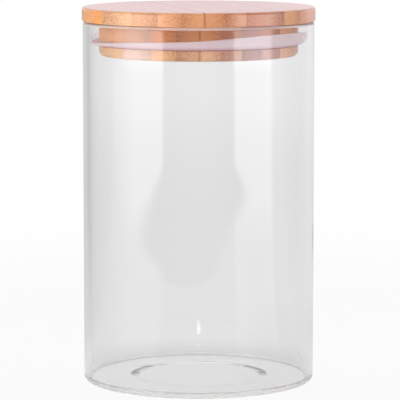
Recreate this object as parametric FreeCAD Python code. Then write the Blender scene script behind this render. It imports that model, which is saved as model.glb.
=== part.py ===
import FreeCAD, Part
import math
import os

# A straight glass canister, closed by a bamboo plug lid that carries a silicone seal ring.
# Sizes are in millimetres. The origin is the centre of the base, +Z is up and the front faces -Y.

# Glass jar
jar_outer_diameter = 100.0
jar_height = 156.5  # from the foot to the top of the rim
jar_wall = 2.8
floor_thickness = 1.6  # glass over the recess under the base
outer_corner_radius = 2.2  # outside, from wall to base
inner_corner_radius = 0.8  # inside, from wall to floor
foot_ring_width = 17.8  # flat ring that the jar stands on
foot_recess_depth = 0.5
foot_recess_ramp = 4.0  # radial length of the recess's sloping edge
foot_recess_rounding = 6.0  # at both ends of that slope

# Lid board: a flange that covers the rim, and a plug with a groove round it
flange_overhang = 0.4  # beyond the jar's wall
flange_thickness = 6.0
flange_edge_radius = 1.1  # round its top
flange_lower_radius = 0.5
flange_seat_gap = 0.1  # over the rim
plug_gap = 4.2  # between plug and glass, bridged by the lip
neck_height = 8.1  # plug above the groove
groove_height = 2.0
groove_depth = 3.0
groove_edge_radius = 0.5  # on the edge below the groove
lower_disc_thickness = 4.7  # plug below the groove
plug_edge_radius = 2.2

# Strips that the board is glued from: the first and the last lie in the flange alone
strip_count = 12
strip_turn = 15.0  # degrees from +X to the line across the strips
first_joint_gap = 3.8  # from the plug's side out to the first glue joint, towards -X
last_joint_gap = 0.7  # from the plug's side out to the last glue joint, towards +X

# Seal: a bead in the groove, and a lip that flares up and out to the glass
seal_clearance = 0.1  # from bead to groove, and from lip to glass
bead_rounding = 0.5
lip_root_thickness = 1.1
lip_tip_thickness = 0.7
lip_low_rise = 2.0  # from the bead's foot to the lip's edge, on the -X side
lip_high_rise = 6.4  # the same on the +X side: the lip sits aslant
lip_bend_reach = 0.7  # part of its way out at which the lip bends upwards
lip_bend_rise = 0.35  # part of its rise that it has climbed by then
lip_bury = 0.8  # how deep the lip's root reaches into the bead
lip_edge_overrun = 0.3  # how far the bowl inside the lip goes on past its edge

# Room that cutting solids leave past what they cut, and the shortest line that counts as one
cut_margin = 1.0
shortest_line = 1e-6

# Radii and heights that follow
jar_radius = jar_outer_diameter / 2
mouth_radius = jar_radius - jar_wall
floor_top = foot_recess_depth + floor_thickness
recess_radius = jar_radius - outer_corner_radius - foot_ring_width
flange_radius = jar_radius + flange_overhang
flange_bottom = jar_height + flange_seat_gap
lid_top = flange_bottom + flange_thickness
plug_radius = mouth_radius - plug_gap
groove_radius = plug_radius - groove_depth
groove_top = flange_bottom - neck_height
groove_bottom = groove_top - groove_height
plug_bottom = groove_bottom - lower_disc_thickness

origin = FreeCAD.Vector(0, 0, 0)
upwards = FreeCAD.Vector(0, 0, 1)


def rounded_wire(corners):
    """A closed wire in the XZ plane through corners (radius, height, rounding)."""
    points = [FreeCAD.Vector(radius, 0, height) for radius, height, rounding in corners]
    edges = []
    leaving = []
    arriving = []
    for index, corner in enumerate(points):
        rounding = corners[index][2]
        back = (points[index - 1] - corner).normalize()
        ahead = (points[(index + 1) % len(points)] - corner).normalize()
        half_angle = back.getAngle(ahead) / 2
        reach = rounding / math.tan(half_angle)
        arriving.append(corner + back * reach)
        leaving.append(corner + ahead * reach)
        if rounding > 0:
            inwards = (back + ahead).normalize()
            middle = corner + inwards * (rounding / math.sin(half_angle) - rounding)
            edges.append(Part.Arc(arriving[index], middle, leaving[index]).toShape())
    for index, start in enumerate(leaving):
        end = arriving[(index + 1) % len(points)]
        if start.distanceToPoint(end) > shortest_line:
            edges.append(Part.LineSegment(start, end).toShape())
    return Part.Wire(Part.__sortEdges__(edges))


def turned(corners):
    """A solid of revolution about the axis, from the corners of its half section."""
    return Part.Face(rounded_wire(corners)).revolve(origin, upwards, 360)


def glass_jar():
    """Straight-walled vessel with a fire-polished rim and a shallow recess under its base."""
    rim_rounding = jar_wall / 2
    return turned(
        [
            (0, foot_recess_depth, 0),
            (recess_radius - foot_recess_ramp, foot_recess_depth, foot_recess_rounding),
            (recess_radius, 0, foot_recess_rounding),
            (jar_radius, 0, outer_corner_radius),
            (jar_radius, jar_height, rim_rounding),
            (mouth_radius, jar_height, rim_rounding),
            (mouth_radius, floor_top, inner_corner_radius),
            (0, floor_top, 0),
        ]
    )


def lid_board():
    """The whole lid, before it is divided into its strips."""
    return turned(
        [
            (0, plug_bottom, 0),
            (plug_radius, plug_bottom, plug_edge_radius),
            (plug_radius, groove_bottom, groove_edge_radius),
            (groove_radius, groove_bottom, 0),
            (groove_radius, groove_top, 0),
            (plug_radius, groove_top, 0),
            (plug_radius, flange_bottom, 0),
            (flange_radius, flange_bottom, flange_lower_radius),
            (flange_radius, lid_top, flange_edge_radius),
            (0, lid_top, 0),
        ]
    )


def glue_joints():
    """Distances of the glue joints from the axis, along the line across the strips."""
    first = -plug_radius - first_joint_gap
    last = plug_radius + last_joint_gap
    pitch = (last - first) / (strip_count - 2)
    return [first + index * pitch for index in range(strip_count - 1)]


def lid_strips():
    """The board's strips from left to right, each one through flange and plug."""
    board = lid_board()
    reach = flange_radius + cut_margin
    height = lid_top - plug_bottom + 2 * cut_margin
    borders = [-reach] + glue_joints() + [reach]
    strips = []
    for left, right in zip(borders, borders[1:]):
        corner = FreeCAD.Vector(left, -reach, plug_bottom - cut_margin)
        slab = Part.makeBox(right - left, 2 * reach, height, corner)
        slab.rotate(origin, upwards, strip_turn)
        strips.append(board.common(slab))
    return strips


def slanted_ring(radius, low, high):
    """A ring on a cylinder about the axis, from height low at -X to height high at +X."""
    middle = (low + high) / 2
    if high - low == 0:
        return Part.Wire(Part.makeCircle(radius, upwards * middle))
    highest = FreeCAD.Vector(radius, 0, high)
    side = FreeCAD.Vector(0, radius, middle)
    return Part.Wire(Part.Ellipse(highest, side, upwards * middle).toShape())


def lip_bowl(root, bend, edge):
    """A bowl through three rings, each (radius, low height, high height)."""
    return Part.makeLoft([slanted_ring(*ring) for ring in (root, bend, edge)], True)


def silicone_seal():
    """The bead that fills the groove, with the lip that leaves its foot."""
    foot = groove_bottom + seal_clearance
    top = groove_top - seal_clearance
    bead = turned(
        [
            (groove_radius + seal_clearance, foot, bead_rounding),
            (plug_radius, foot, 0),
            (plug_radius, top, bead_rounding),
            (groove_radius + seal_clearance, top, bead_rounding),
        ]
    )
    root_radius = plug_radius - lip_bury
    bend_radius = plug_radius + lip_bend_reach * plug_gap
    edge_radius = mouth_radius - seal_clearance
    bend_low = foot + lip_bend_rise * lip_low_rise
    bend_high = foot + lip_bend_rise * lip_high_rise
    edge_low = foot + lip_low_rise
    edge_high = foot + lip_high_rise
    outside = lip_bowl(
        (root_radius, foot, foot),
        (bend_radius, bend_low, bend_high),
        (edge_radius, edge_low, edge_high),
    )
    inside = lip_bowl(
        (root_radius, foot + lip_root_thickness, foot + lip_root_thickness),
        (bend_radius - lip_tip_thickness, bend_low + lip_tip_thickness, bend_high + lip_tip_thickness),
        (edge_radius - lip_tip_thickness, edge_low + lip_edge_overrun, edge_high + lip_edge_overrun),
    )
    core_height = lip_root_thickness + 2 * cut_margin
    core = Part.makeCylinder(plug_radius - lip_bury / 2, core_height, upwards * (foot - cut_margin))
    lip = outside.cut(inside).cut(core)
    return bead.fuse(lip).removeSplitter()


def write_part(name, shape):
    """Writes one piece and prints what it measures."""
    shape.exportStep(os.path.join("parts", name + ".step"))
    box = shape.optimalBoundingBox()
    print(
        f"{name}: {len(shape.Solids)} solid, valid {shape.isValid()}, volume {shape.Volume:.1f},"
        f" x {box.XMin:.2f} to {box.XMax:.2f}, z {box.ZMin:.2f} to {box.ZMax:.2f}"
    )


os.makedirs("parts", exist_ok=True)
write_part("glass_jar", glass_jar())
write_part("silicone_seal", silicone_seal())
for number, strip in enumerate(lid_strips(), start=1):
    write_part(f"lid_strip_{number:02d}", strip)
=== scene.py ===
import math

import bpy
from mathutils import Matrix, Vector, noise


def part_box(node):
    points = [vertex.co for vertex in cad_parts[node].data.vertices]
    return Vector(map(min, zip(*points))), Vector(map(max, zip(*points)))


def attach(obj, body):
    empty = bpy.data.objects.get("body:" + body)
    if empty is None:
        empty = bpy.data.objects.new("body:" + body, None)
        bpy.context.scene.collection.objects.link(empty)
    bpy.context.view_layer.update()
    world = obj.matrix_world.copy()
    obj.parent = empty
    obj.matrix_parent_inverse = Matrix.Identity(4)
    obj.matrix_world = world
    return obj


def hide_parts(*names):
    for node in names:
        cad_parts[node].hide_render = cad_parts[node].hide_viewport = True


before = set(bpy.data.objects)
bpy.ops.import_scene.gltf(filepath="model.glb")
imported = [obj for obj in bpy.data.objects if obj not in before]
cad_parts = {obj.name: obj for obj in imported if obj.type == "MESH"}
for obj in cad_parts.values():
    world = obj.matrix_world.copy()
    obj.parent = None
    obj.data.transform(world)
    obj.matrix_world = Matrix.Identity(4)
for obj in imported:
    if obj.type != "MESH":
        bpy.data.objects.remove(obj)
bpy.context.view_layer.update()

# A glass canister with a bamboo plug lid: its fine glass, finishes, studio and camera.
# Lengths are in metres in the model's frame: +Z is up and the front faces -Y.

MM = 0.001

# Glass jar
JAR_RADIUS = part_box("glass_jar")[1].x
JAR_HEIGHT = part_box("glass_jar")[1].z
WALL = 2.8 * MM
RECESS_DEPTH = 0.5 * MM
FLOOR_TOP = 2.1 * MM
OUTER_CORNER = 2.2 * MM
INNER_CORNER = 0.8 * MM
RECESS_RADIUS = 30.0 * MM
RECESS_RAMP = 4.0 * MM
RECESS_ROUNDING = 6.0 * MM
BASE_MIDDLE = RECESS_DEPTH + 0.5 * MM  # height between the two faces of the base
BASE_TOP = FLOOR_TOP + 1.0 * MM  # height up to which glass counts as the base
WALL_ZONE = 1.5 * WALL  # from the outside in, how much counts as the wall
GLASS_IOR = 1.48
GLASS_TINT = (0.985, 0.985, 0.985, 1)
GLASS_PASSES = 0.985  # share of the lamps' light that goes through
GLASS_WAVES = 60.0  # noise units per metre
GLASS_RELIEF = (0.02, 0.3 * MM)  # strength and depth of the surface's unevenness
EDGE_GRAIN = 900.0  # noise units per metre
EDGE_ROUGHNESS = (0.28, 0.34)
EDGE_PASSES = 0.9
# The rim's milky, pale pinkish edge is a painted highlight: the bright line along the rim
RIM_HIGHLIGHT_HEIGHT = 1.2 * MM  # height of the rim's milky edge
RIM_CLEARNESS = 0.7
RIM_HIGHLIGHT_TONES = ((0.96, 0.90, 0.89, 1), (0.98, 0.93, 0.92, 1))
# The foot's milky, pale grey edge is painted light: it stays pale where clear glass shows dark lines
FOOT_LIGHT_HEIGHT = 3.0 * MM  # height of the soft edge round the foot
FOOT_CLEARNESS = 0.85
FOOT_LIGHT_TONES = ((0.90, 0.90, 0.90, 1), (0.94, 0.94, 0.94, 1))
JAR_SEGMENTS = 240
ARC_STEP = math.radians(7.5)
LEAST_ARC_STEPS = 6
LONGEST_STEP = 3.0 * MM  # between two rings of the glass
SUPPORT_STEP = 0.25 * MM  # from an arc to the ring beside it
SHORTEST_STEP = SUPPORT_STEP / 100  # two points closer than this are one
RIPPLE_DEPTH = 0.04 * MM  # unevenness of the wall
RIPPLE_TOP = 20.0 * MM  # down to here from the rim the wall runs true, for the seal
RIPPLE_BOTTOM = 12.0 * MM  # below this height it runs true too
RIPPLE_FADE = 15.0 * MM
RIPPLE_AROUND = 1.6  # waves, in noise units per jar radius
RIPPLE_UPWARDS = 30.0  # waves, in noise units per metre
DIMPLES = 90.0  # across the base, in noise units per metre
DIMPLE_DEPTH = 0.25 * MM
DIMPLE_WIDTH = 8.0 * MM  # to both sides of the recess's edge
FACE_SHIFT = 10  # between the noises of the glass's two faces
NOISE_RANGE = (0.3, 0.7)  # most values of a noise texture lie between these

# Silicone seal: a bead in the plug's groove, and a lip that flares up and out to the glass
SEAL_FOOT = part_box("silicone_seal")[0].z
LIP_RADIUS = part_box("silicone_seal")[1].x
PLUG_RADIUS = 43.0 * MM
BEAD_RADIUS = 40.1 * MM
BEAD_HEIGHT = 1.8 * MM
BEAD_ROUNDING = 0.5 * MM
LIP_ROOT = 1.1 * MM
LIP_TIP = 0.7 * MM
LIP_BELLY_REACH = 0.95  # how far out, as part of its reach, the lip bellies
LIP_BELLY_RISE = 0.15  # how far up, as part of its rise
LIP_STEPS = 12
TIP_STEPS = 6
SEAL_SEGMENTS = 240
SEAL_PASSES = 0.6
SILICONE_TONES = ((0.72, 0.55, 0.625, 1), (0.78, 0.61, 0.685, 1))
SILICONE_CLOUDS = 180.0  # noise units per metre
SILICONE_GRAIN = 2500.0
SILICONE_RELIEF = (0.1, 0.1 * MM)  # strength and depth
SILICONE_ROUGHNESS = (0.45, 0.6)
# Painted shade: the lip darkens towards its foot, where it is thicker and the wood shows through it
LIP_SHADE_HEIGHTS = (149.0 * MM, 146.0 * MM)  # heights between which the lip grows darker, down to its foot
LIP_PAINTED_SHADE = (0.78, 0.58, 0.62, 1)
# How high the lip's edge stands over its foot in millimetres, by degrees round from +X
LIP_RISE = [
    (0, 4.3),
    (30, 3.6),
    (90, 3.0),
    (150, 2.0),
    (184, 1.5),
    (212, 1.95),
    (234, 3.0),
    (268, 4.0),
    (300, 5.8),
    (322, 6.3),
    (340, 5.9),
]

# Bamboo lid
STRIP_TURN = math.radians(15.0)
STRIP_PITCH = 9.05  # millimetres, as are all lengths in the wood's nodes
FIRST_JOINT = -46.8
BUNDLE_SPACING = 0.8
BUNDLE_LENGTH = 70.0
BUNDLE_SHIFT = (3.7, 1.3, 2.1)  # from strip to strip, so that no two look the same
BUNDLE_RADIUS = (0.24, 0.38)  # in spacings, from a strip's inner side to its dense outer side
BUNDLE_STRENGTH = (0.7, 1.0)  # the same for how dark they are
BUNDLE_EDGE = 0.1  # softness of a bundle's edge, in spacings
BUNDLE_HOLLOW = 0.5  # how deep bundles lie in the surface, beside the fibres' relief
FIBRE_SHIFT = (5.1, 0.7, 1.9)
FIBRE_SCALE = (2.5, 0.03, 2.5)  # noise units per millimetre: fine across a strip, long along it
WOOD_RELIEF = (0.25, 0.1 * MM)  # strength, and depth in metres
DENSE_FROM = 0.3 * STRIP_PITCH  # from a strip's inner side to where its dense side starts
GLUE_CORE = 0.05  # from a joint, where its glue line is darkest
GLUE_REACH = 0.9  # how far the dark of a glue line spreads
TOP_GLUE_REACH = 0.75  # the same on the lid's top
NECK_TOP = (156.7, 156.5)  # heights between which the tone of the plug above its groove starts
# Painted light: the plug's neck grows lighter and paler towards its foot, as if lit from below
NECK_LIGHT_HEIGHTS = (154.5, 150.0)  # heights between which it takes on the tint below
NECK_FOOT_PAINTED_LIGHT = (1.08, 1.18, 1.25, 1)
DISC_TOP = (148.0, 147.0)  # heights between which the tone of the plug below its groove starts
OIL_COAT = 0.5  # how glossy the oiled flange is; the plug is bare
COAT_ROUGHNESS = 0.15
SANDED_ROUGHNESS = (0.26, 0.36)
SANDED_RANGE = (0.25, 0.75)  # of the fibres' noise, between which it goes from one to the other
PLUG_ROUGHNESS = 0.55
# What each of these leaves of the wood's colour
DENSE_SHADE = (0.84, 0.80, 0.76, 1)
FIBRE_SHADE = (0.88, 0.86, 0.84, 1)
BUNDLE_SHADE = (0.72, 0.57, 0.43, 1)
GLUE_SHADE = (0.70, 0.55, 0.42, 1)
TOP = (162.2, 162.5)  # heights between which the lid's top starts
# The top's tone is paler than the wood and evens out the strips: partly the wood's tone, partly a painted
# sheen
TOP_TONE_AND_SHEEN = (0.80, 0.48, 0.29, 1)
TOP_GLUE_SHADE = (0.20, 0.12, 0.09, 1)
TOP_EVENNESS = 0.6  # how nearly all strips have that tone there
TOP_BUNDLES = 0.25  # how much of the bundles' dark shows there, where they lie lengthwise
TOP_LINE = 0.85  # only a glue line as dark as this shows there

# Each strip's tone in the flange, in the plug above the groove and in the plug below it, whether its
# dense outer side is on the right, and how dark its two glue lines are. The plug's tones hold painted
# light:
# above the groove a deeper, redder painted shade under the flange, with painted light on the right-hand
# strips; below it a paler, pinker painted sheen at the sides. Strips seven to nine are darker in the
# flange, partly a painted shade.
STRIPS = [
    ((0.804, 0.33, 0.087), (0.804, 0.406, 0.184), (0.804, 0.406, 0.184), False, (0.0, 0.1)),
    ((0.754, 0.406, 0.214), (0.774, 0.376, 0.189), (0.774, 0.462, 0.245), False, (0.1, 0.1)),
    ((0.688, 0.323, 0.153), (0.703, 0.345, 0.194), (0.794, 0.533, 0.444), True, (0.1, 0.2)),
    ((0.739, 0.342, 0.166), (0.703, 0.254, 0.076), (0.789, 0.431, 0.214), True, (0.1, 0.2)),
    ((0.653, 0.294, 0.123), (0.608, 0.223, 0.069), (0.613, 0.315, 0.168), False, (0.3, 1.0)),
    ((0.628, 0.271, 0.125), (0.683, 0.254, 0.076), (0.693, 0.381, 0.235), True, (0.9, 0.3)),
    ((0.578, 0.254, 0.133), (0.598, 0.223, 0.107), (0.583, 0.304, 0.224), False, (0.3, 0.8)),
    ((0.523, 0.203, 0.125), (0.638, 0.254, 0.199), (0.437, 0.228, 0.224), False, (0.5, 0.0)),
    ((0.533, 0.242, 0.161), (0.759, 0.325, 0.175), (0.608, 0.355, 0.321), True, (0.0, 0.2)),
    ((0.628, 0.3, 0.15), (0.95, 0.447, 0.224), (0.749, 0.421, 0.291), True, (0.1, 0.1)),
    ((0.749, 0.363, 0.235), (0.844, 0.452, 0.291), (0.703, 0.426, 0.347), False, (0.1, 0.1)),
    ((0.749, 0.363, 0.235), (0.844, 0.452, 0.291), (0.703, 0.426, 0.347), True, (0.1, 0.0)),
]

# Studio
WHITE = (1, 1, 1, 1)
FLOOR_REACH = 12.0
FLOOR_GREY = (0.85, 0.85, 0.85, 1)  # of the part that takes a shadow
FLOOR_GAP = 0.1 * MM  # keeps the floor and the foot apart
NEAR_WHITE = 0.85  # share of plain white beside the canister; the rest takes its shadow
WHITE_FROM = (0.2, 0.6)  # distances between which that share grows to the whole
# Reflections see a painted dark part of the floor in front, between two painted pale streaks; the camera
# sees the floor white
PAINTED_DARK_IN_MIRRORS = (0.5, 1.1, 0.03, 0.31)  # two distances, and the levels of the dark part there
STREAK_START = (31.0, 37.0)  # turns from the front, in degrees, between which both streaks start
LEAN_SOFTNESS = (1.0, 0.6, 9.0)  # distances between which the dark part's edge grows softer, degrees
# Each streak is (side, turns from the front between which it ends in degrees, leans). A lean is (distances
# between which the dark part's edge turns to it, degrees that it then reaches past the streak's start)
STREAKS = [
    (-1, (95.0, 60.0), [(1.0, 0.53, 20.0), (0.5, 0.38, -1.0), (0.38, 0.335, -40.0)]),
    (1, (79.3, 72.3), [(0.97, 0.75, 11.0), (0.73, 0.44, -16.0), (0.42, 0.335, -40.0)]),
]
STREAK_FROM = (0.08, 0.2)  # distances between which the streaks begin
STREAK_LEVEL = 1.0
# How that level grows: (distances between which it goes to the next level, next level)
STREAK_LEVELS = [(0.45, 0.75, 2.35), (1.7, 2.0, 4.0)]
# How bright the floor is through glass, painted levels that only glass sees: a painted shade under the
# canister, and then as above
UNDER_LEVEL = 0.62
NEAR_LEVEL = (0.05, 0.11, 0.79)
FAR_LEVEL = (0.6, 1.6, 0.86)
LEFT_SHADE = 0.68  # what is left of it towards the left
LEFT_EDGE = (0.05, -0.6)  # sideways run over depth between which that shade grows
LEFT_END = (-3.0, -1.5)  # the same for where it ends again
RIGHT_SHADE = 0.93  # the same towards the right, close to the canister
RIGHT_EDGE = (0.02, 0.08)
RIGHT_ENDS = (0.3, 0.1)  # distances between which it grows towards the canister
BEHIND = (0.0, 0.1)  # depths between which the floor starts to count as behind the canister
GLARE_SIDES = (-0.25, 0.0)  # sideways run over depth between which left turns to right there
LEFT_GLARE = 0.5  # share taken off the floor behind where it is mirrored, on the left
RIGHT_GLARE = 0.3
FLOOR_GLOW = 1.3  # of the floor as a lamp for what stands on it
SIDE_SOFTNESS = 0.4  # added to the depth in that run, so that it stays small beside the canister
FRONT_LOW_LIGHT = 2.28
FRONT_HIGH_LIGHT = 0.05
FRONT_MIRRORED = 0.45  # most that reflections show of the light in front
LOW_LIGHT_ENDS = (0.36, 0.46)  # upward part of the direction between which low turns to high
BACK_LOW_LIGHT = 1.15
BACK_CAST = (1.0, 0.91, 1.03, 1)  # colour of its reflection
BACK_HIGH_LIGHT = 0.8
BACK_LIGHT_ENDS = (0.06, 0.16)
OVERHEAD_LIGHT = 1.0
OVERHEAD_ENDS = (0.7, 0.9)
BACK_FROM = (-0.3, 0.7)  # depth part of the direction between which front turns to back
SIDE_FROM = 0.8  # sideways part of the direction at which the light of a side is full
LEFT_LIGHT = 1.8
MIDDLE_LIGHT = 1.1
RIGHT_LIGHT = 1.1
SMALL_LAMP_PLACE = (0.0, -3.0, 0.51)
SMALL_LAMP_SIZE = (0.2, 0.015)
SMALL_LAMP_LEVEL = 80.0
GLASS_BOUNCES = 32  # light goes back and forth inside the glass base
CAMERA_LENS = 251.62
CAMERA_SENSOR = 36.0
CAMERA_PLACE = (0.0006, -1.2071, 0.22977)
CAMERA_TILT = math.radians(82.854)


def new_material(name):
    """An empty node tree in a new material."""
    material = bpy.data.materials.new(name)
    material.use_nodes = True
    material.node_tree.nodes.clear()
    return material


def add(tree, kind, inputs=None, **settings):
    """Adds a shader node; its inputs are values or other nodes' outputs, by name or number."""
    node = tree.nodes.new("ShaderNode" + kind)
    for name, value in settings.items():
        setattr(node, name, value)
    for key, value in (inputs or {}).items():
        if isinstance(value, bpy.types.NodeSocket):
            tree.links.new(value, node.inputs[key])
        else:
            node.inputs[key].default_value = value
    return node


def maths(tree, operation, *values):
    """One sum on sockets or numbers."""
    return add(tree, "Math", dict(enumerate(values)), operation=operation).outputs[0]


def ramp(tree, value, start, end, low=0.0, high=1.0):
    """Goes smoothly from low to high while the value goes from start to end."""
    inputs = {"Value": value, "From Min": start, "From Max": end, "To Min": low, "To Max": high}
    return add(tree, "MapRange", inputs, interpolation_type="SMOOTHSTEP").outputs[0]


def stepped(tree, value, level, steps):
    """Goes from level to level, each step being (values between which it is reached, next level)."""
    for start, end, reached in steps:
        level = ramp(tree, value, start, end, level, reached)
    return level


def relief(tree, height, strength, depth):
    """Surface normals of a slight unevenness."""
    return add(tree, "Bump", {"Strength": strength, "Distance": depth, "Height": height}).outputs[0]


def mixed(tree, factor, first, second, blend="MIX"):
    """A mix of two colours."""
    inputs = {0: factor, 6: first, 7: second}
    return add(tree, "Mix", inputs, data_type="RGBA", blend_type=blend).outputs[2]


def rounded_outline(corners):
    """Points through corners (radius, height, rounding), with each rounding drawn as an arc."""
    points = []
    for index, (radius, height, rounding) in enumerate(corners):
        corner = Vector((radius, height))
        if rounding == 0:
            points.append(corner)
            continue
        back = (Vector(corners[index - 1][:2]) - corner).normalized()
        ahead = (Vector(corners[index + 1][:2]) - corner).normalized()
        half_angle = back.angle(ahead) / 2
        centre = corner + (back + ahead).normalized() * rounding / math.sin(half_angle)
        first = corner + back * rounding / math.tan(half_angle) - centre
        last = corner + ahead * rounding / math.tan(half_angle) - centre
        steps = max(LEAST_ARC_STEPS, math.ceil(first.angle(last) / ARC_STEP))
        points += [centre + first.slerp(last, step / steps) * rounding for step in range(steps + 1)]
    return points


def with_rings(points):
    """The outline with more points along its straight runs."""
    outline = [points[0]]
    for start, end in zip(points, points[1:]):
        length = (end - start).length
        if length < SHORTEST_STEP:
            continue
        if length > 2 * LONGEST_STEP:
            support = SUPPORT_STEP / length
            count = math.ceil(length / LONGEST_STEP)
            shares = [support] + [step / count for step in range(1, count)] + [1 - support]
            outline += [start.lerp(end, share) for share in shares]
        outline.append(end)
    return outline


def turned_mesh(name, outline, segments):
    """A closed mesh, turned about the axis from an outline that starts and ends on it."""
    rings = outline[1:-1]
    vertices = [(0, 0, outline[0].y)]
    for point in rings:
        for step in range(segments):
            angle = 2 * math.pi * step / segments
            vertices.append((point.x * math.cos(angle), point.x * math.sin(angle), point.y))
    vertices.append((0, 0, outline[-1].y))
    last = len(vertices) - 1
    top = last - segments
    faces = []
    for step in range(segments):
        after = (step + 1) % segments
        faces.append((0, 1 + after, 1 + step))
        faces.append((last, top + step, top + after))
        for ring in range(len(rings) - 1):
            low = 1 + ring * segments
            high = low + segments
            faces.append((low + step, low + after, high + after, high + step))
    mesh = bpy.data.meshes.new(name)
    mesh.from_pydata(vertices, [], faces)
    mesh.shade_smooth()
    return mesh


def ripple(mesh):
    """Gives the glass wall the slight unevenness of blown glass."""
    for vertex in mesh.vertices:
        radius = vertex.co.xy.length
        if radius < JAR_RADIUS - WALL_ZONE:
            continue
        below_rim = JAR_HEIGHT - RIPPLE_TOP - vertex.co.z
        above_base = vertex.co.z - RIPPLE_BOTTOM
        fade = min(1, max(0, min(below_rim, above_base) / RIPPLE_FADE))
        around = vertex.co.xy / radius * RIPPLE_AROUND
        side = 0 if radius > JAR_RADIUS - WALL / 2 else FACE_SHIFT
        wave = noise.noise(Vector((around.x, around.y, vertex.co.z * RIPPLE_UPWARDS + side)))
        vertex.co.xy *= 1 + fade * wave * RIPPLE_DEPTH / radius


def dimple(mesh):
    """Makes the base uneven over the back of its recess's edge."""
    for vertex in mesh.vertices:
        from_edge = (vertex.co.xy.length - RECESS_RADIUS + RECESS_RAMP / 2) / DIMPLE_WIDTH
        if vertex.co.z > BASE_TOP or abs(from_edge) > 1 or vertex.co.y < 0:
            continue
        side = 0 if vertex.co.z > BASE_MIDDLE else FACE_SHIFT
        wave = noise.noise(Vector((vertex.co.x * DIMPLES, vertex.co.y * DIMPLES, side)))
        depth = DIMPLE_DEPTH * vertex.co.y / RECESS_RADIUS * (1 - from_edge**2) ** 2
        vertex.co.z += max(0, wave) * depth


def lip_rise(angle):
    """Height of the lip's edge over its foot at an angle in degrees, on a smooth closed curve."""
    knots = [(degrees - 360, rise) for degrees, rise in LIP_RISE[-2:]] + LIP_RISE
    knots += [(degrees + 360, rise) for degrees, rise in LIP_RISE[:2]]
    for before, start, end, after in zip(knots, knots[1:], knots[2:], knots[3:]):
        if start[0] <= angle <= end[0]:
            break
    span = end[0] - start[0]
    share = (angle - start[0]) / span
    leaving = (end[1] - before[1]) / (end[0] - before[0]) * span
    arriving = (after[1] - start[1]) / (after[0] - start[0]) * span
    steep = start[1] - end[1] + leaving
    late = end[1] - start[1] - arriving
    bend = share * (1 - share) * ((1 - share) * steep + share * late)
    return (start[1] + (end[1] - start[1]) * share + bend) * MM


def bent(start, middle, end, steps):
    """Points along a quadratic curve from start to end, pulled towards the middle point."""
    shares = [step / steps for step in range(steps + 1)]
    return [start.lerp(middle, share).lerp(middle.lerp(end, share), share) for share in shares]


def seal_section(rise):
    """The seal's closed section, where its lip's edge stands that high."""
    reach = LIP_RADIUS - PLUG_RADIUS
    belly = Vector((PLUG_RADIUS + reach * LIP_BELLY_REACH, SEAL_FOOT + rise * LIP_BELLY_RISE))
    edge = Vector((LIP_RADIUS, SEAL_FOOT + rise - LIP_TIP / 2))
    inner_edge = edge - Vector((LIP_TIP, 0))
    inner_belly = belly + Vector((-LIP_TIP, LIP_TIP))
    bead_top = SEAL_FOOT + BEAD_HEIGHT
    section = bent(Vector((PLUG_RADIUS, SEAL_FOOT)), belly, edge, LIP_STEPS)
    centre = (edge + inner_edge) / 2
    for step in range(1, TIP_STEPS):
        turn = math.pi * step / TIP_STEPS
        section.append(centre + Vector((math.cos(turn), math.sin(turn))) * LIP_TIP / 2)
    section += bent(inner_edge, inner_belly, Vector((PLUG_RADIUS, SEAL_FOOT + LIP_ROOT)), LIP_STEPS)
    section += rounded_outline(
        [
            (PLUG_RADIUS, SEAL_FOOT + LIP_ROOT, 0),
            (PLUG_RADIUS, bead_top, BEAD_ROUNDING),
            (BEAD_RADIUS, bead_top, BEAD_ROUNDING),
            (BEAD_RADIUS, SEAL_FOOT, BEAD_ROUNDING),
            (PLUG_RADIUS, SEAL_FOOT, 0),
        ]
    )[1:-1]
    return section


def fine_seal():
    """The seal as a soft ring with a round-edged, uneven lip, in the place of its solid."""
    vertices = []
    faces = []
    for step in range(SEAL_SEGMENTS):
        angle = 360 * step / SEAL_SEGMENTS
        section = seal_section(lip_rise(angle))
        outwards = Vector((math.cos(math.radians(angle)), math.sin(math.radians(angle))))
        vertices += [(*(outwards * point.x), point.y) for point in section]
    count = len(section)
    for step in range(SEAL_SEGMENTS):
        ring = step * count
        after = (step + 1) % SEAL_SEGMENTS * count
        for index in range(count):
            beside = (index + 1) % count
            faces.append((ring + index, after + index, after + beside, ring + beside))
    mesh = bpy.data.meshes.new("fine_seal")
    mesh.from_pydata(vertices, [], faces)
    mesh.shade_smooth()
    seal = bpy.data.objects.new("fine_seal", mesh)
    bpy.context.scene.collection.objects.link(seal)
    dress(seal, silicone_material())
    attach(seal, "seal")
    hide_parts("silicone_seal")


def lit_through(tree, shader, share):
    """A surface that passes this share of the lamps' light to what lies behind it."""
    clear = add(tree, "BsdfTransparent", {"Color": (share, share, share, 1)})
    shadow_ray = add(tree, "LightPath").outputs["Is Shadow Ray"]
    return add(tree, "MixShader", {0: shadow_ray, 1: shader.outputs[0], 2: clear.outputs[0]}).outputs[0]


def glass_material():
    """Clear glass with a faint grey cast and a fire-polished, not quite even surface."""
    material = new_material("clear_glass")
    tree = material.node_tree
    place = add(tree, "TexCoord").outputs["Object"]
    waves = add(tree, "TexNoise", {"Vector": place, "Scale": GLASS_WAVES, "Detail": 1.0}).outputs[0]
    glass = add(
        tree,
        "BsdfPrincipled",
        {
            "Base Color": GLASS_TINT,
            "Roughness": 0.0,
            "IOR": GLASS_IOR,
            "Transmission Weight": 1.0,
            "Normal": relief(tree, waves, *GLASS_RELIEF),
        },
    )
    add(tree, "OutputMaterial", {"Surface": lit_through(tree, glass, GLASS_PASSES)})
    return material


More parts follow.
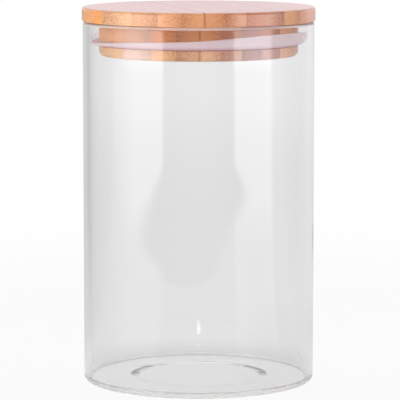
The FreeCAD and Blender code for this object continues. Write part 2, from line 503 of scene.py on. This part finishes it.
def milky_painted_edge(name, clearness, dark, pale):
    """Glass that is a little milky, in a colour between dark and pale, for an edge: painted light, a pale
    line along it.
    """
    material = new_material(name)
    tree = material.node_tree
    place = add(tree, "TexCoord").outputs["Object"]
    grain = add(tree, "TexNoise", {"Vector": place, "Scale": EDGE_GRAIN, "Detail": 2.0}).outputs[0]
    glass = add(
        tree,
        "BsdfPrincipled",
        {
            "Base Color": mixed(tree, grain, dark, pale),
            "Roughness": ramp(tree, grain, *NOISE_RANGE, *EDGE_ROUGHNESS),
            "IOR": GLASS_IOR,
            "Transmission Weight": clearness,
        },
    )
    add(tree, "OutputMaterial", {"Surface": lit_through(tree, glass, EDGE_PASSES)})
    return material


def silicone_material():
    """Milky translucent silicone with a satin skin."""
    material = new_material("milky_silicone")
    tree = material.node_tree
    place = add(tree, "TexCoord").outputs["Object"]
    cloud = add(tree, "TexNoise", {"Vector": place, "Scale": SILICONE_CLOUDS, "Detail": 3.0}).outputs[0]
    grain = add(tree, "TexNoise", {"Vector": place, "Scale": SILICONE_GRAIN, "Detail": 2.0}).outputs[0]
    height = add(tree, "SeparateXYZ", {0: place}).outputs["Z"]
    colour = mixed(tree, cloud, *SILICONE_TONES)
    # Painted shade, darker down to the lip's foot
    colour = mixed(tree, ramp(tree, height, *LIP_SHADE_HEIGHTS), colour, LIP_PAINTED_SHADE, "MULTIPLY")
    silicone = add(
        tree,
        "BsdfPrincipled",
        {
            "Base Color": colour,
            "Roughness": ramp(tree, cloud, *NOISE_RANGE, *SILICONE_ROUGHNESS),
            "IOR": 1.41,
            "Specular IOR Level": 0.3,
            "Transmission Weight": 0.15,
            "Subsurface Weight": 0.9,
            "Subsurface Radius": (1.0, 0.8, 0.8),
            "Subsurface Scale": 6.0 * MM,
            "Normal": relief(tree, grain, *SILICONE_RELIEF),
        },
    )
    add(tree, "OutputMaterial", {"Surface": lit_through(tree, silicone, SEAL_PASSES)})
    return material


def bamboo_material(number, flange_tone_with_painted_shade, neck_tone_with_painted_light, disc_tone_with_painted_sheen, dense_right, lines):
    """One strip of bamboo: fibre bundles along it, dense on its outer side, and dark glue lines."""
    left = FIRST_JOINT + (number - 2) * STRIP_PITCH
    material = new_material(f"bamboo_{number:02d}")
    tree = material.node_tree
    place = add(
        tree,
        "Mapping",
        {
            "Vector": add(tree, "TexCoord").outputs["Object"],
            "Rotation": (0, 0, -STRIP_TURN),
            "Scale": (1 / MM, 1 / MM, 1 / MM),
        },
    )
    axes = add(tree, "SeparateXYZ", {0: place.outputs[0]}).outputs
    from_left = maths(tree, "SUBTRACT", axes["X"], left)
    from_right = maths(tree, "SUBTRACT", left + STRIP_PITCH, axes["X"])
    from_inner = from_left if dense_right else from_right

    bundle_place = add(
        tree,
        "Mapping",
        {
            "Vector": place.outputs[0],
            "Location": [number * shift for shift in BUNDLE_SHIFT],
            "Scale": (1 / BUNDLE_SPACING, 1 / BUNDLE_LENGTH, 1 / BUNDLE_SPACING),
        },
    )
    bundles = add(tree, "TexVoronoi", {"Vector": bundle_place.outputs[0], "Scale": 1.0})
    radius = ramp(tree, from_inner, 0.0, STRIP_PITCH, *BUNDLE_RADIUS)
    strength = ramp(tree, from_inner, 0.0, STRIP_PITCH, *BUNDLE_STRENGTH)
    on_top = ramp(tree, axes["Z"], *TOP)
    strength = maths(tree, "MULTIPLY", strength, ramp(tree, on_top, 0.0, 1.0, 1.0, TOP_BUNDLES))
    outside = maths(tree, "SUBTRACT", bundles.outputs["Distance"], radius)
    bundle = ramp(tree, outside, BUNDLE_EDGE, -BUNDLE_EDGE)

    fibre_place = add(
        tree,
        "Mapping",
        {
            "Vector": place.outputs[0],
            "Location": [number * shift for shift in FIBRE_SHIFT],
            "Scale": FIBRE_SCALE,
        },
    )
    fibres = add(tree, "TexNoise", {"Vector": fibre_place.outputs[0], "Scale": 1.0, "Detail": 4.0})
    fibres = fibres.outputs[0]

    on_plug = ramp(tree, axes["Z"], *NECK_TOP)
    # The plug's tones carry painted shade under the flange, painted light on the right and a painted sheen
    # below the groove
    wood = mixed(tree, on_plug, (*flange_tone_with_painted_shade, 1), (*neck_tone_with_painted_light, 1))
    # Painted light from below on the neck's lower part
    wood = mixed(tree, ramp(tree, axes["Z"], *NECK_LIGHT_HEIGHTS), wood, NECK_FOOT_PAINTED_LIGHT, "MULTIPLY")
    wood = mixed(tree, ramp(tree, axes["Z"], *DISC_TOP), wood, (*disc_tone_with_painted_sheen, 1))
    wood = mixed(tree, ramp(tree, from_inner, DENSE_FROM, STRIP_PITCH), wood, DENSE_SHADE, "MULTIPLY")
    # Paler, even top: partly a painted sheen
    wood = mixed(tree, maths(tree, "MULTIPLY", on_top, TOP_EVENNESS), wood, TOP_TONE_AND_SHEEN)
    wood = mixed(tree, ramp(tree, fibres, *NOISE_RANGE), wood, FIBRE_SHADE, "MULTIPLY")
    wood = mixed(tree, maths(tree, "MULTIPLY", bundle, strength), wood, BUNDLE_SHADE, "MULTIPLY")
    reach = ramp(tree, on_top, 0.0, 1.0, GLUE_REACH, TOP_GLUE_REACH)
    glue = mixed(tree, on_top, GLUE_SHADE, TOP_GLUE_SHADE)
    for distance, side_darkness in zip((from_left, from_right), lines):
        top_darkness = side_darkness if side_darkness > TOP_LINE else 0.0
        darkness = ramp(tree, on_top, 0.0, 1.0, side_darkness, top_darkness)
        line = ramp(tree, distance, reach, GLUE_CORE, 0.0, darkness)
        wood = mixed(tree, line, wood, glue, "MULTIPLY")

    height = maths(tree, "SUBTRACT", fibres, maths(tree, "MULTIPLY", bundle, BUNDLE_HOLLOW))
    roughness = ramp(tree, fibres, *SANDED_RANGE, *SANDED_ROUGHNESS)
    roughness = ramp(tree, on_plug, 0.0, 1.0, roughness, PLUG_ROUGHNESS)
    board = add(
        tree,
        "BsdfPrincipled",
        {
            "Base Color": wood,
            "Roughness": roughness,
            "Coat Weight": ramp(tree, on_plug, 0.0, 1.0, OIL_COAT, 0.0),
            "Coat Roughness": COAT_ROUGHNESS,
            "Normal": relief(tree, height, *WOOD_RELIEF),
        },
    )
    add(tree, "OutputMaterial", {"Surface": board.outputs[0]})
    return material


def dress(piece, material):
    """Gives a piece one material."""
    piece.data.materials.clear()
    piece.data.materials.append(material)


def fine_jar():
    """The jar's glass as a fine turned mesh, in the place of its solid."""
    rim = WALL / 2
    inner_radius = JAR_RADIUS - WALL
    corners = [
        (0, RECESS_DEPTH, 0),
        (RECESS_RADIUS - RECESS_RAMP, RECESS_DEPTH, RECESS_ROUNDING),
        (RECESS_RADIUS, 0, RECESS_ROUNDING),
        (JAR_RADIUS, 0, OUTER_CORNER),
        (JAR_RADIUS, JAR_HEIGHT, rim),
        (inner_radius, JAR_HEIGHT, rim),
        (inner_radius, FLOOR_TOP, INNER_CORNER),
        (0, FLOOR_TOP, 0),
    ]
    mesh = turned_mesh("fine_jar", with_rings(rounded_outline(corners)), JAR_SEGMENTS)
    ripple(mesh)
    dimple(mesh)
    jar = bpy.data.objects.new("fine_jar", mesh)
    bpy.context.scene.collection.objects.link(jar)
    dress(jar, glass_material())
    # Milky edges at the rim and the foot: painted light, a pale line along each
    mesh.materials.append(milky_painted_edge("rim_painted_highlight", RIM_CLEARNESS, *RIM_HIGHLIGHT_TONES))
    mesh.materials.append(milky_painted_edge("foot_painted_light", FOOT_CLEARNESS, *FOOT_LIGHT_TONES))
    for face in mesh.polygons:
        if face.center.z > JAR_HEIGHT - RIM_HIGHLIGHT_HEIGHT:
            face.material_index = 1
        elif face.center.z < FOOT_LIGHT_HEIGHT and face.center.xy.length > JAR_RADIUS - WALL / 2:
            face.material_index = 2
    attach(jar, "jar")
    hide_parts("glass_jar")
    return jar


def dress_lid():
    """Bamboo on the lid's strips."""
    for number, strip in enumerate(STRIPS, start=1):
        dress(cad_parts[f"lid_strip_{number:02d}"], bamboo_material(number, *strip))


def floor_through_glass(tree, away, sideways):
    """How bright the floor is through glass, a painted glow: darker towards the left, and a little on the
    near right.
    """
    left = maths(tree, "MULTIPLY", ramp(tree, sideways, *LEFT_EDGE), ramp(tree, sideways, *LEFT_END))
    right = maths(tree, "MULTIPLY", ramp(tree, sideways, *RIGHT_EDGE), ramp(tree, away, *RIGHT_ENDS))
    level = stepped(tree, away, UNDER_LEVEL, (NEAR_LEVEL, FAR_LEVEL))
    level = maths(tree, "MULTIPLY", level, ramp(tree, left, 0.0, 1.0, 1.0, LEFT_SHADE))
    return maths(tree, "MULTIPLY", level, ramp(tree, right, 0.0, 1.0, 1.0, RIGHT_SHADE))


def floor_in_mirrors(tree, axes, away, sideways):
    """How bright the floor is in reflections, a painted glow: dark in front, between two pale streaks."""
    turned = maths(tree, "ARCTAN2", axes["X"], maths(tree, "MULTIPLY", axes["Y"], -1.0))
    turned = maths(tree, "DEGREES", turned)
    softness = ramp(tree, away, *LEAN_SOFTNESS[:2], 0.0, LEAN_SOFTNESS[2])
    edge_start = maths(tree, "SUBTRACT", STREAK_START[0], softness)
    edge_end = maths(tree, "ADD", STREAK_START[1], softness)
    streak = 0.0
    dark = 1.0
    for side, ends, leans in STREAKS:
        outwards = maths(tree, "MULTIPLY", turned, side)
        lean = stepped(tree, away, 0.0, leans)
        past_dark = ramp(tree, maths(tree, "SUBTRACT", outwards, lean), edge_start, edge_end)
        dark = maths(tree, "MULTIPLY", dark, maths(tree, "SUBTRACT", 1.0, past_dark))
        bright = maths(tree, "MULTIPLY", ramp(tree, outwards, *STREAK_START), ramp(tree, outwards, *ends))
        streak = maths(tree, "MULTIPLY_ADD", bright, past_dark, streak)
    streak = maths(tree, "MULTIPLY", streak, ramp(tree, away, *STREAK_FROM))
    level = ramp(tree, dark, 0.0, 1.0, 1.0, ramp(tree, away, *PAINTED_DARK_IN_MIRRORS))
    level = maths(tree, "MULTIPLY_ADD", streak, stepped(tree, away, STREAK_LEVEL, STREAK_LEVELS), level)
    glare = ramp(tree, sideways, *GLARE_SIDES, LEFT_GLARE, RIGHT_GLARE)
    glare = maths(tree, "MULTIPLY", ramp(tree, axes["Y"], *BEHIND), glare)
    return maths(tree, "MULTIPLY", level, maths(tree, "SUBTRACT", 1.0, glare))


def studio_floor():
    """A wide pale floor that keeps the canister's shadow: white to the camera, less so to the glass."""
    material = new_material("studio_floor")
    tree = material.node_tree
    path = add(tree, "LightPath").outputs
    place = add(tree, "NewGeometry").outputs["Position"]
    away = add(tree, "VectorMath", {0: place}, operation="LENGTH").outputs["Value"]
    axes = add(tree, "SeparateXYZ", {0: place}).outputs
    depth = maths(tree, "ADD", maths(tree, "ABSOLUTE", axes["Y"]), SIDE_SOFTNESS)
    sideways = maths(tree, "DIVIDE", axes["X"], depth)
    # Glass and reflections see painted glow here: painted shade through glass, a painted dark part and
    # streaks in reflections
    through = floor_through_glass(tree, away, sideways)
    mirrored = floor_in_mirrors(tree, axes, away, sideways)
    level = maths(tree, "MULTIPLY", path["Is Transmission Ray"], through)
    reflection = maths(tree, "GREATER_THAN", path["Is Glossy Ray"], path["Is Transmission Ray"])
    level = maths(tree, "MAXIMUM", level, maths(tree, "MULTIPLY", reflection, mirrored))
    as_lamp = maths(tree, "MINIMUM", path["Diffuse Depth"], 1.0)
    level = maths(tree, "MAXIMUM", level, maths(tree, "MULTIPLY", as_lamp, FLOOR_GLOW))
    level = maths(tree, "MAXIMUM", level, path["Is Camera Ray"])
    seen = maths(tree, "GREATER_THAN", level, 0.0)
    share = maths(tree, "MULTIPLY", seen, ramp(tree, away, *WHITE_FROM, NEAR_WHITE, 1.0))
    matt = add(tree, "BsdfDiffuse", {"Color": FLOOR_GREY})
    white = add(tree, "Emission", {"Color": WHITE, "Strength": level})
    surface = add(tree, "MixShader", {0: share, 1: matt.outputs[0], 2: white.outputs[0]})
    add(tree, "OutputMaterial", {"Surface": surface.outputs[0]})
    corners = [(-1, -1), (1, -1), (1, 1), (-1, 1)]
    vertices = [(x * FLOOR_REACH, y * FLOOR_REACH, -FLOOR_GAP) for x, y in corners]
    mesh = bpy.data.meshes.new("studio_floor")
    mesh.from_pydata(vertices, [], [(0, 1, 2, 3)])
    floor = bpy.data.objects.new("studio_floor", mesh)
    bpy.context.scene.collection.objects.link(floor)
    dress(floor, material)


def studio_world():
    """Soft light from all round, stronger low down in front. The camera sees it white."""
    world = bpy.data.worlds.new("studio_world")
    bpy.context.scene.world = world
    world.use_nodes = True
    tree = world.node_tree
    tree.nodes.clear()
    direction = add(tree, "SeparateXYZ", {0: add(tree, "TexCoord").outputs["Generated"]}).outputs
    front = ramp(tree, direction["Z"], *LOW_LIGHT_ENDS, FRONT_LOW_LIGHT, FRONT_HIGH_LIGHT)
    back = ramp(tree, direction["Z"], *BACK_LIGHT_ENDS, BACK_LOW_LIGHT, BACK_HIGH_LIGHT)
    side = ramp(tree, direction["X"], -SIDE_FROM, 0.0, LEFT_LIGHT, MIDDLE_LIGHT)
    side = ramp(tree, direction["X"], 0.0, SIDE_FROM, side, RIGHT_LIGHT)
    front = maths(tree, "MULTIPLY", front, side)
    path = add(tree, "LightPath").outputs
    mirrored = maths(tree, "MINIMUM", front, FRONT_MIRRORED)
    in_mirror = maths(tree, "GREATER_THAN", path["Is Glossy Ray"], path["Diffuse Depth"])
    front = ramp(tree, in_mirror, 0.0, 1.0, front, mirrored)
    level = ramp(tree, direction["Y"], *BACK_FROM, front, back)
    level = ramp(tree, direction["Z"], *OVERHEAD_ENDS, level, OVERHEAD_LIGHT)
    through = maths(tree, "GREATER_THAN", path["Is Transmission Ray"], path["Diffuse Depth"])
    level = ramp(tree, through, 0.0, 1.0, level, FAR_LEVEL[2])
    level = maths(tree, "MAXIMUM", level, path["Is Camera Ray"])
    cast = maths(tree, "SUBTRACT", in_mirror, through)
    cast = maths(tree, "MULTIPLY", cast, ramp(tree, direction["Y"], *BACK_FROM))
    colour = mixed(tree, cast, WHITE, BACK_CAST)
    background = add(tree, "Background", {"Color": colour, "Strength": level})
    add(tree, "OutputWorld", {"Surface": background.outputs[0]})


def small_lamp(jar):
    """A short bright lamp above the camera, for the glints in the glass."""
    light = bpy.data.lights.new("small_lamp", "AREA")
    light.shape = "RECTANGLE"
    light.size, light.size_y = SMALL_LAMP_SIZE
    light.energy = SMALL_LAMP_LEVEL * math.pi * light.size * light.size_y
    made = bpy.data.objects.new("small_lamp", light)
    made.location = SMALL_LAMP_PLACE
    made.rotation_euler = Vector(SMALL_LAMP_PLACE).to_track_quat("Z", "Y").to_euler()
    made.visible_camera = False
    bpy.context.scene.collection.objects.link(made)
    lit = bpy.data.collections.new("glass_that_glints")
    lit.objects.link(jar)
    made.light_linking.receiver_collection = lit


def photo_camera():
    """A long lens, a little above the lid, at the photograph's viewing angle."""
    data = bpy.data.cameras.new("photo_camera")
    data.lens = CAMERA_LENS
    data.sensor_width = CAMERA_SENSOR
    camera = bpy.data.objects.new("photo_camera", data)
    camera.location = CAMERA_PLACE
    camera.rotation_euler = (CAMERA_TILT, 0, 0)
    bpy.context.scene.collection.objects.link(camera)
    bpy.context.scene.camera = camera


jar = fine_jar()
fine_seal()
dress_lid()
studio_floor()
studio_world()
small_lamp(jar)
photo_camera()
bpy.context.scene.view_settings.view_transform = "Standard"
bpy.context.scene.cycles.max_bounces = GLASS_BOUNCES
bpy.context.scene.cycles.glossy_bounces = GLASS_BOUNCES
bpy.context.scene.cycles.transmission_bounces = GLASS_BOUNCES
